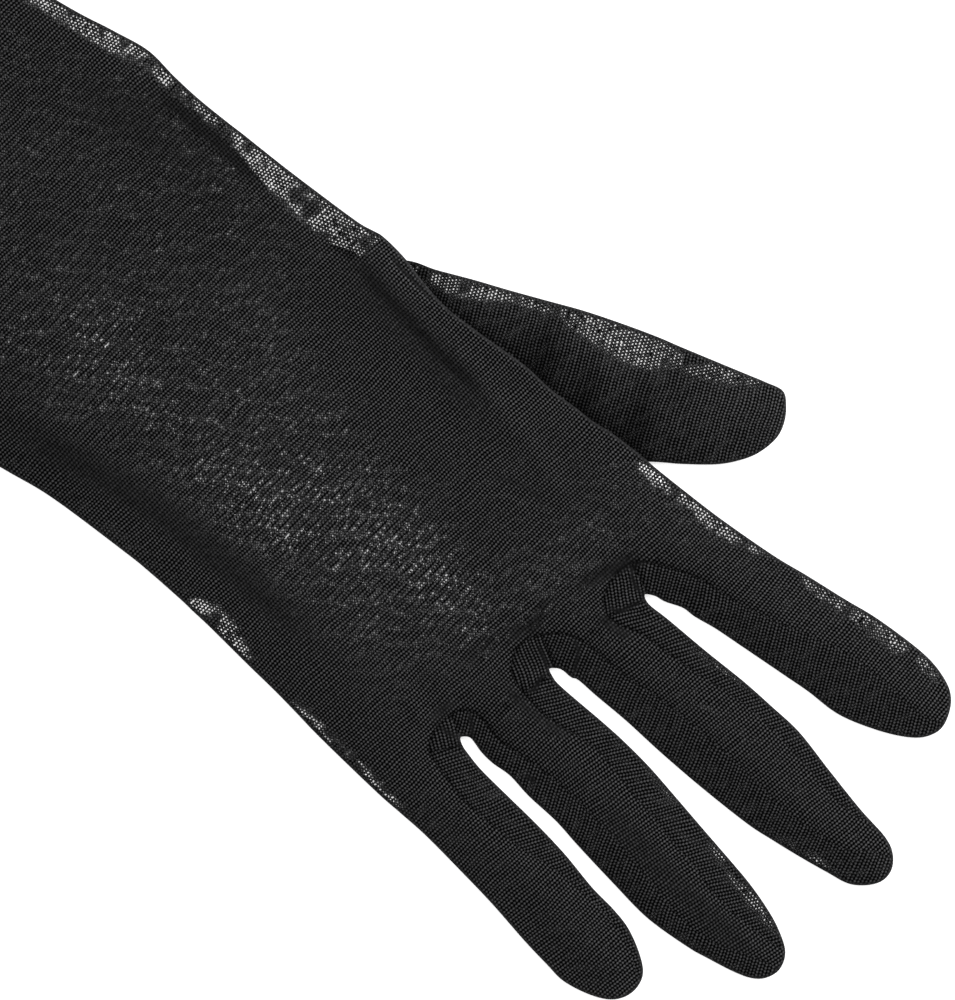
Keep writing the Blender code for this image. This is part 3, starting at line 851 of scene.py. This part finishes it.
def thread_light(make, look, glint, body, pairs, inside):
    """How light the threads are: mottled, flatter where the cloth is plain, and crisper where it glints."""
    # Painted shade in the knit's hollows and painted highlight on the threads' tops, after the knit's relief
    lit = make.math("POWER", make.ramp(body, 0.25, 1.0), 1.6)
    lit = make.plus(make.times(lit, make.minus(1, look["plain"])), make.times(look["plain"], 0.3))
    crisp = make.plus(make.plus(make.times(pairs, 0.35), make.times(body, 1.6)), -1.05)
    lit = make.times(lit, make.plus(make.times(glint, crisp), 1.0))
    lit = make.times(lit, make.minus(1, make.times(look["sheer"], 0.45)))
    if inside < 1:
        # Painted shade: seen from inside the glove, the stitches are darker
        from_inside = make.new("ShaderNodeNewGeometry").outputs["Backfacing"]
        lit = make.times(lit, make.minus(1, make.times(from_inside, 1 - inside)))
    mottle = make.plus(make.times(make.noise(1.2, 4, 2.0), 1.6), 0.2)
    return make.times(make.times(lit, mottle), look["shade_and_tone"], clamp=True)


def mesh_cloth(name, thread, hole, clear, seed, alternate=0.07, through=0.0, inside=1.0):
    """Stretch mesh: rows of stitches round small staggered holes, which open where the cloth is stretched.

    thread is how light the stitches are, hole how large the holes get, clear how much light passes them where
    the cloth isn't stretched, through how much more passes where it glints, alternate how much tighter every
    other row is, and inside how much of their light is kept from inside the glove, as painted shade there.
    """
    make = KnitNodes(name, seed)
    look = {title: make.new("ShaderNodeAttribute", attribute_name=title).outputs["Fac"] for title in LOOKS}
    body, pairs, every_other = knit(make, look["sheer"], alternate)
    glint = make.times(look["glint"], make.ramp(make.noise(0.8, 23, 1.5), 0.34, 0.68))
    size = hole_size(make, look, glint, every_other, hole)
    alpha = opacity(make, look, glint, body, size, clear, through)
    mix = make.new("ShaderNodeMix", data_type="RGBA")
    make.link(thread_light(make, look, glint, body, pairs, inside), mix.inputs["Factor"])
    mix.inputs["A"].default_value = (SHADE_BETWEEN_THREADS, SHADE_BETWEEN_THREADS, SHADE_BETWEEN_THREADS, 1)
    mix.inputs["B"].default_value = (thread, thread, 1.03 * thread, 1)
    bump = make.new("ShaderNodeBump", BUMP, THREAD_RELIEF * MM)
    make.link(body, bump.inputs["Height"])
    make.link(mix.outputs["Result"], make.shader.inputs["Base Color"])
    make.link(alpha, make.shader.inputs["Alpha"])
    make.link(bump.outputs[0], make.shader.inputs["Normal"])
    make.shade(THREAD_SHADER)
    return make.material


upper_cloth = mesh_cloth("trank_mesh_back", 0.083, 0.76, 1.0, 0.0)
# The palm cloth's inside gets painted shade
lower_cloth = mesh_cloth("trank_mesh_palm", 0.06, 0.76, 0.03, 5.0, alternate=0.5, through=1.0, inside=0.13)
strip_cloth = mesh_cloth("strip_mesh", 0.07, 0.7, 0.25, 9.0)
thumb_cloth = mesh_cloth("thumb_mesh", 0.08, 0.76, 0.25, 14.0)
overlock_cloth = mesh_cloth("overlock_mesh", 0.04, 0.0, 0.0, 19.0)


# ---- the pieces


def trank_loop():
    """The edge of the trank's plan, with each web's seam in place of its notch, and where the notches are."""
    loop, spans, at = [], {}, 0
    for finger, seam in seam_lines.items():
        first, last = nearest_index(outline, seam[0]), nearest_index(outline, seam[-1])
        spans[finger] = (first, last)
        loop += [outline[at: first + 1, :2], seam[1:-1]]
        at = last
    loop.append(outline[at:, :2])
    return np.vstack(loop), spans


loop, notch_spans = trank_loop()


def between(start, end, spacing=SPACING):
    """Points between two, without them."""
    start, way = np.array(start), np.subtract(end, start)
    count = max(1, int(round(np.linalg.norm(way) / spacing)))
    return np.array([start + way * k / count for k in range(1, count)]).reshape(-1, 2)


def edge_points(along):
    """Where the sleeve's two edges are in the loop, this far up the sleeve."""
    return tuple(nearest_index(loop, sleeve_edge(along, side)) for side in (1, -1))


def across(start, end):
    """Points across the sleeve, between two of the loop's."""
    return between(loop[start], loop[end], SLEEVE_SPACING)


cuts = {name: (nearest_index(loop, a), nearest_index(loop, b)) for name, (a, b) in FINGER_CUT.items()}
elbow_cut = edge_points(ELBOW)
hem_cut = edge_points(SLEEVE_LENGTH - HEM_DEPTH)
hem_end = edge_points(SLEEVE_LENGTH)


def hand_polygon():
    """The plan of the hand and forearm, from the fingers' roots to the elbow."""
    pieces, at = [], elbow_cut[0]
    for first, last in cuts.values():
        pieces += [loop[at: first + 1], between(loop[first], loop[last])]
        at = last
    return np.vstack([*pieces, loop[at: elbow_cut[1] + 1], across(elbow_cut[1], elbow_cut[0])])


def finger_polygon(name):
    """The plan of a finger's back or palm, from its root."""
    first, last = cuts[name]
    return np.vstack([loop[first: last + 1], between(loop[last], loop[first])])


def band_polygon(far, near):
    """The sleeve between two pairs of points on its edges."""
    return np.vstack([loop[far[0]: near[0] + 1], across(*near), loop[near[1]: far[1] + 1],
                      across(far[1], far[0])])


def strip_polygons(finger):
    """The plans of one web's first fourchette, its gusset and its second fourchette."""
    seam = seam_lines[finger]
    first, last = notch_spans[finger]
    fold = outline[:, :2]
    (a, b), (c, d) = [(nearest_index(fold, on_fold), nearest_index(seam, on_seam))
                      for on_fold, on_seam in GUSSET_SEAMS[finger]]
    one = np.vstack([fold[first: a + 1], between(fold[a], seam[b]), seam[b: 0: -1]])
    gusset = np.vstack([fold[a: c + 1], between(fold[c], seam[d]), seam[d: b - 1: -1],
                        between(seam[b], fold[a])])
    two = np.vstack([fold[c: last + 1], seam[-2: d - 1: -1], between(seam[d], fold[c])])
    return one, gusset, two


SHORTEST_SIDE = 10.0


def cut_size(polygon):
    """The sides of the smallest rectangle round a piece's plan, shorter first, and the plan's area."""
    boxes = []
    for degrees in range(0, 180, 2):
        cos, sin = math.cos(math.radians(degrees)), math.sin(math.radians(degrees))
        boxes.append(sorted((np.ptp(polygon @ (cos, sin)), np.ptp(polygon @ (-sin, cos)))))
    width, length = min(boxes, key=lambda sides: sides[0] * sides[1])
    return width, length, abs(area_of(polygon))


def declare(polygon, layers=1, ring=False):
    """Works out how large a piece's sheet is cut: as large as its plan, because the glove lies flat and
    unstretched. It returns nothing.

    A piece in both layers is cut twice as wide and folded along its length, or twice as long for a ring.
    """
    width, length, area = cut_size(polygon)
    flat = (width, length * layers) if ring else (width * layers, length)
    flat = [float(max(side, SHORTEST_SIDE)) * MM for side in flat]


def attach(piece, body, node):
    """Rides on the hand, or, for another body, keeps its place baked into its mesh; then hides the part it
    stands for.
    """
    if body == "hand":
        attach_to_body(piece, "hand")
    else:
        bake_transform(piece)
    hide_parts(node)


# The overlocked seam allowance inside the thumb side of the sleeve
OVERLOCK_INSET = 4.6  # of its middle from the sleeve's edge
OVERLOCK_WIDTH = 2.2
OVERLOCK_HEIGHT = 0.9
OVERLOCK_RISE = (0, 0.25, 0.35, 0.25, 0)  # of its stitches, across it
OVERLOCK_LOOKS = (0, 0, 0.5, 1, 0)  # in the order of LOOKS


def inner_sleeve_point(along):
    """A point of the seam allowance, this far up the sleeve."""
    x, y, _ = sleeve_edge(along, 1)
    return x, y - OVERLOCK_INSET


def make_allowance(name, node, body, line):
    """A band of overlocked stitches along this line."""
    line = curve_through(line, LINE_STEP)
    left = to_left(np.gradient(line, axis=0))
    rows, count = len(OVERLOCK_RISE), len(line)
    offsets = np.linspace(-0.5, 0.5, rows) * OVERLOCK_WIDTH
    points = np.vstack([line - left * offset for offset in offsets])
    heights = OVERLOCK_HEIGHT + np.repeat(OVERLOCK_RISE, count) + thumb_lift(points)
    faces = [(r * count + k, (r + 1) * count + k, (r + 1) * count + k + 1, r * count + k + 1)
             for r in range(rows - 1) for k in range(count - 1)]
    looks = np.tile(OVERLOCK_LOOKS, (len(points), 1))
    piece = build_object(name, points, heights[:, None], faces, points, looks, overlock_cloth)
    attach(piece, body, node)
    return piece


def make_layer(name, polygon, body, sewn_on=(), **choices):
    """The back or the palm side of a part of the trank. sewn_on, the seam allowance sewn to it, is not used.
    """
    upper = "back" in name
    piece = sheet(f"{name}_cloth", polygon, [upper], upper_cloth if upper else lower_cloth, **choices)
    attach(piece, body, name)
    declare(polygon)


def make_hand():
    polygon = hand_polygon()
    line = [inner_sleeve_point(along) for along in (ELBOW, 120, 80, 40)] + OVERLOCK_LINE
    overlock = make_allowance("forearm_overlock", "forearm_seam_allowance", "hand", line)
    make_layer("back_panel", polygon, "hand")
    make_layer("palm_panel", polygon, "hand", [overlock])


def make_fingers():
    for finger, (first, last) in cuts.items():
        polygon = finger_polygon(finger)
        turned = {"root": (loop[first] + loop[last]) / 2, "bend": FINGER_GRAIN[finger]}
        for side in ("back", "palm"):
            make_layer(f"{finger}_{side}", polygon, f"{finger}_finger", **turned)


# How far the grain of each web's strips and gusset is turned, in degrees
STRIP_TURN = {"index": (32, 58, -26), "middle": (24, 66, -30), "ring": (28, 62, -24)}
THUMB_TURN = 30
BOTH = (True, False)  # the upper layer, and the lower


def make_strips():
    fingers = list(cuts)
    for one, two in zip(fingers, fingers[1:]):
        names = (f"{one}_fourchette_{two}_side", f"web_gusset_{one}_{two}", f"{two}_fourchette_{one}_side")
        bodies = (f"{one}_finger", "hand", f"{two}_finger")
        for name, polygon, body, turn in zip(names, strip_polygons(one), bodies, STRIP_TURN[one]):
            piece = sheet(f"{name}_cloth", polygon, BOTH, strip_cloth, turn=turn, spacing=STRIP_SPACING)
            attach(piece, body, name)
            declare(polygon, layers=2)


def make_thumb():
    fold = thumb_edge.line[:, :2]
    polygon = np.vstack([fold, between(fold[-1], fold[0])])
    piece = sheet("thumb_cloth", polygon, BOTH, thumb_cloth, height=thumb_height, look=thumb_looks,
                  edge=thumb_edge, turn=THUMB_TURN)
    attach(piece, "thumb", "thumb_piece")
    declare(polygon, layers=2)


def make_sleeve():
    polygon, hem = band_polygon(hem_cut, elbow_cut), band_polygon(hem_end, hem_cut)
    line = [inner_sleeve_point(along) for along in (SLEEVE_LENGTH - HEM_DEPTH - 1, 300, 240, 200, ELBOW)]
    overlock = make_allowance("upper_sleeve_overlock", "upper_sleeve_seam_allowance", "upper_sleeve", line)
    for side, sewn_on in (("back", []), ("palm", [overlock])):
        make_layer(f"upper_sleeve_{side}", polygon, "upper_sleeve", sewn_on, spacing=SLEEVE_SPACING)
    piece = sheet("hem_band_cloth", hem, BOTH, strip_cloth, spacing=HEM_SPACING)
    attach(piece, "upper_sleeve", "hem_band")
    declare(hem, layers=2, ring=True)


# ---- floor, light and camera

VIEW_TURN = math.radians(40)
VIEW_CENTRE = (1.4 * MM, 12.5 * MM)
VIEW_HEIGHT = 192.3 * MM
CAMERA_DISTANCE = 1.2  # in metres, above the top of the cloth
CLOTH_TOP = 0.004
SENSOR = 36.0
FLOOR_SIZE = 6
FLOOR_DROP = 0.0002  # below the glove
FLOOR_GLOW = 0.7
WORLD_LIGHT = 0.35
LIGHTS = {"key": ((0.5, 1.2, 1.0), 0.6, 26), "fill": ((-0.9, -0.8, 1.5), 1.2, 8)}  # place, size and power


def make_floor():
    bpy.ops.mesh.primitive_plane_add(size=FLOOR_SIZE, location=(0, 0, -FLOOR_DROP))
    floor = bpy.context.object
    floor.name = "floor"
    make = Nodes("floor_paper")
    make.shade({"Base Color": (0.85, 0.85, 0.85, 1), "Roughness": 0.9})
    make.shade({"Emission Color": (1, 1, 1, 1), "Emission Strength": FLOOR_GLOW})
    floor.data.materials.append(make.material)


def make_light(name, place, size, power):
    """A soft square light that points at the glove."""
    data = bpy.data.lights.new(name, "AREA")
    data.size = size
    data.energy = power
    lamp = put_in_scene(name, data)
    lamp.location = place
    lamp.rotation_euler = (-Vector(place)).to_track_quat("-Z", "Y").to_euler()


def make_world():
    world = bpy.data.worlds.new("studio")
    world.use_nodes = True
    background = world.node_tree.nodes["Background"]
    background.inputs["Color"].default_value = (1, 1, 1, 1)
    background.inputs["Strength"].default_value = WORLD_LIGHT
    scene.world = world


def make_camera():
    """Straight above the back of the hand, turned so that the fingers point to the lower right."""
    data = bpy.data.cameras.new("camera")
    data.sensor_width = SENSOR
    data.lens = SENSOR * CAMERA_DISTANCE / VIEW_HEIGHT
    camera = put_in_scene("camera", data)
    camera.location = (*VIEW_CENTRE, CAMERA_DISTANCE + CLOTH_TOP)
    camera.rotation_euler = (0, 0, VIEW_TURN)
    scene.camera = camera


def make_stage():
    make_floor()
    for name, (place, size, power) in LIGHTS.items():
        make_light(name, place, size, power)
    make_world()
    make_camera()
    scene.view_settings.view_transform = "Standard"


make_stage()
make_hand()
make_fingers()
make_strips()
make_thumb()
make_sleeve()
